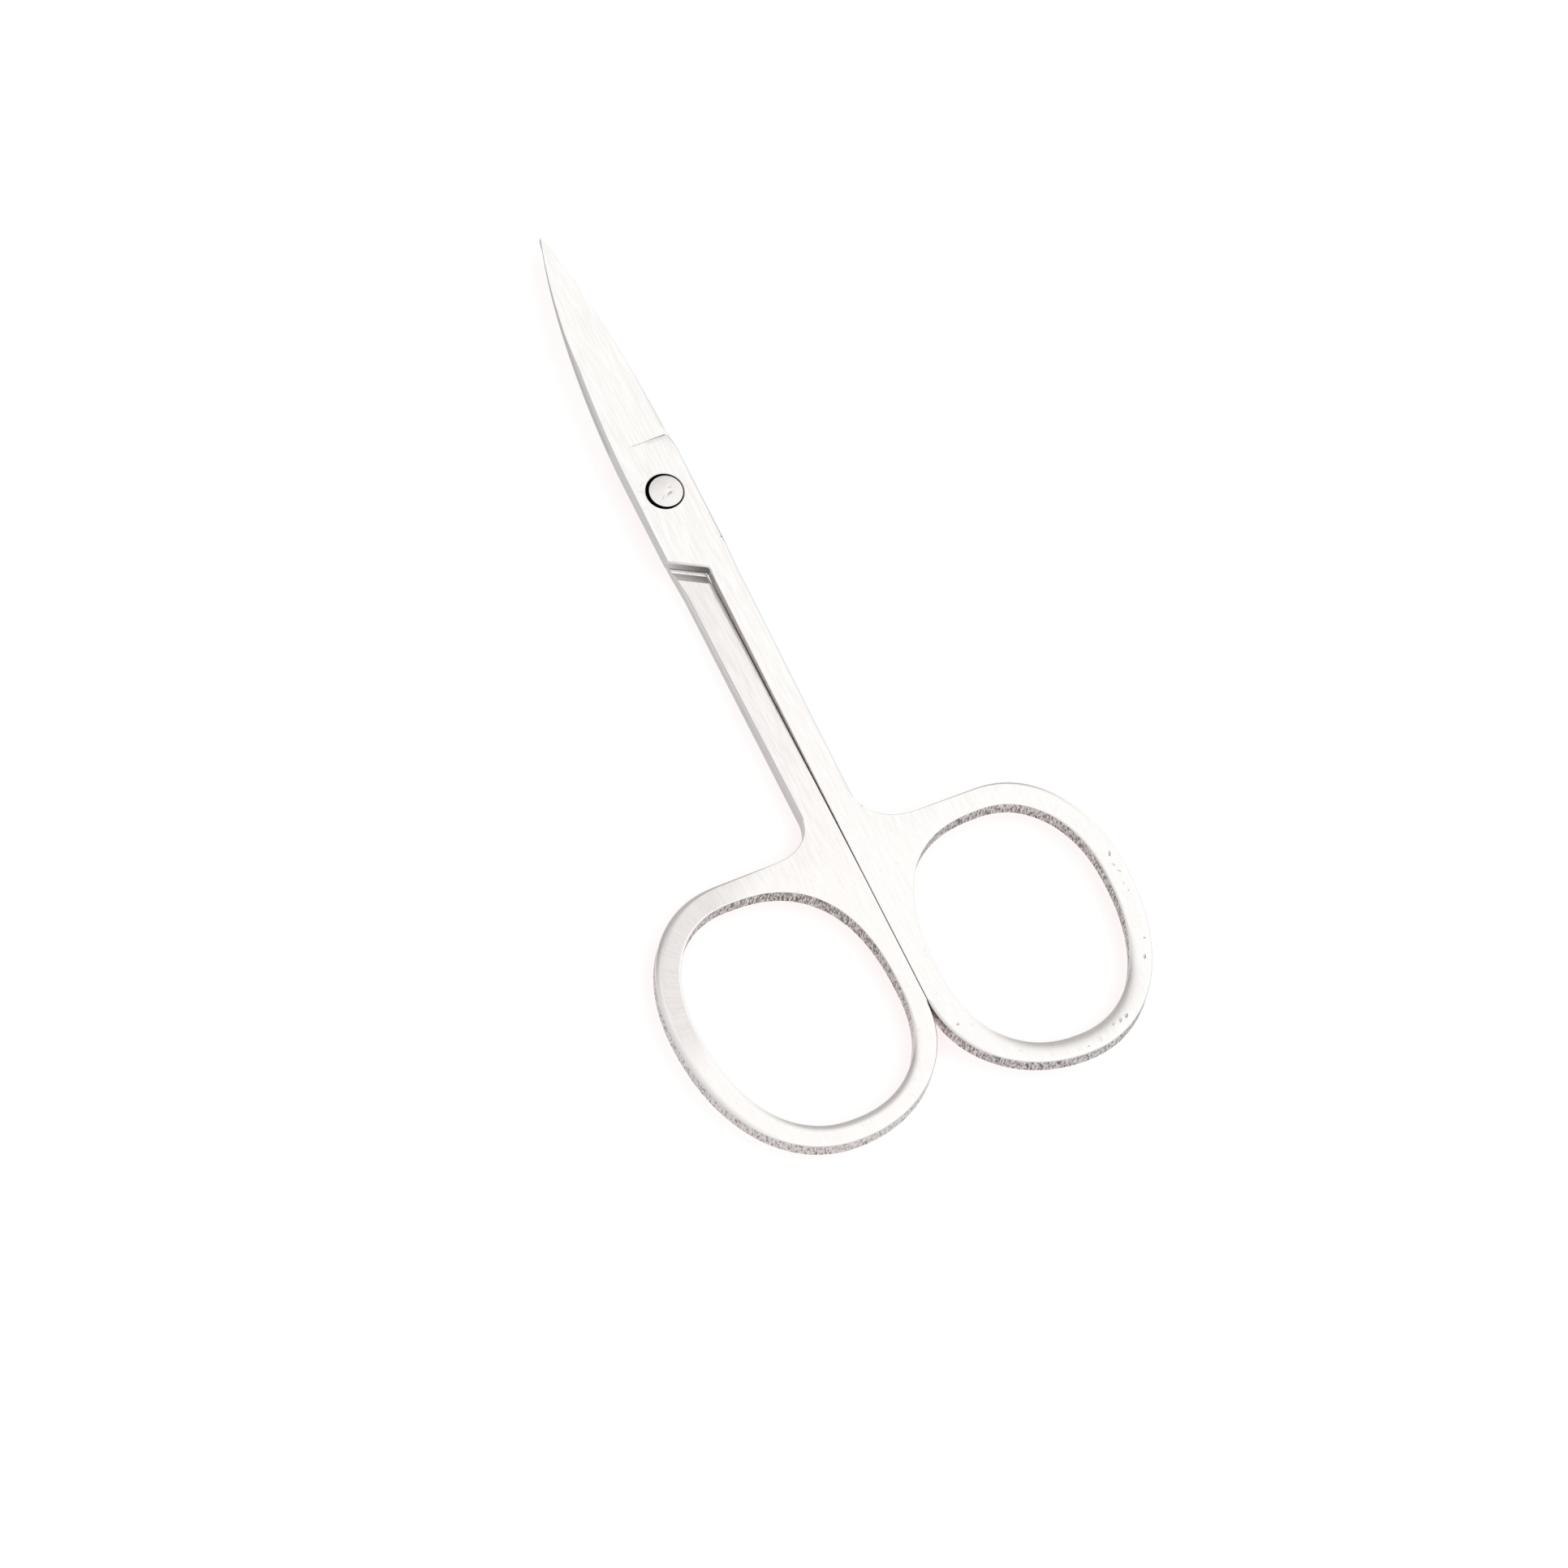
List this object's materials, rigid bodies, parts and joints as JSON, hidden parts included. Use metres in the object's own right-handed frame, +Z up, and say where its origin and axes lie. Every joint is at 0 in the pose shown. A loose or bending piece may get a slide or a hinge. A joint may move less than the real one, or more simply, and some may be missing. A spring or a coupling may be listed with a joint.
{
  "type": "eyebrow scissors",
  "caption": "Small straight-bladed grooming scissors: stamped steel halves with ground pointed blades and oval finger bows, turning on a flush rivet.",
  "frame": {"origin": "middle of the closed outline, on the surface that the scissors lie on", "axes": "+Y toward the blade tips, +Z up from the surface, +X toward the upper half's bow"},
  "size_m": [0.0444, 0.09, 0.0024],
  "materials": {
    "lower_steel": "fine brushed, satin",
    "upper_steel": "fine brushed, satin",
    "rivet_steel": "peened, dull satin"
  },
  "bodies": {
    "lower": {"lower_half": "lower_steel", "pivot_rivet": "rivet_steel"},
    "upper": {"upper_half": "upper_steel"}
  },
  "joints": [
    {"name": "pivot", "type": "hinge", "parent": "lower", "child": "upper", "pos_m": [-0.00002, 0.01825, 0.0012], "axis": [0, 0, 1], "range_deg": [0, 130]}
  ]
}
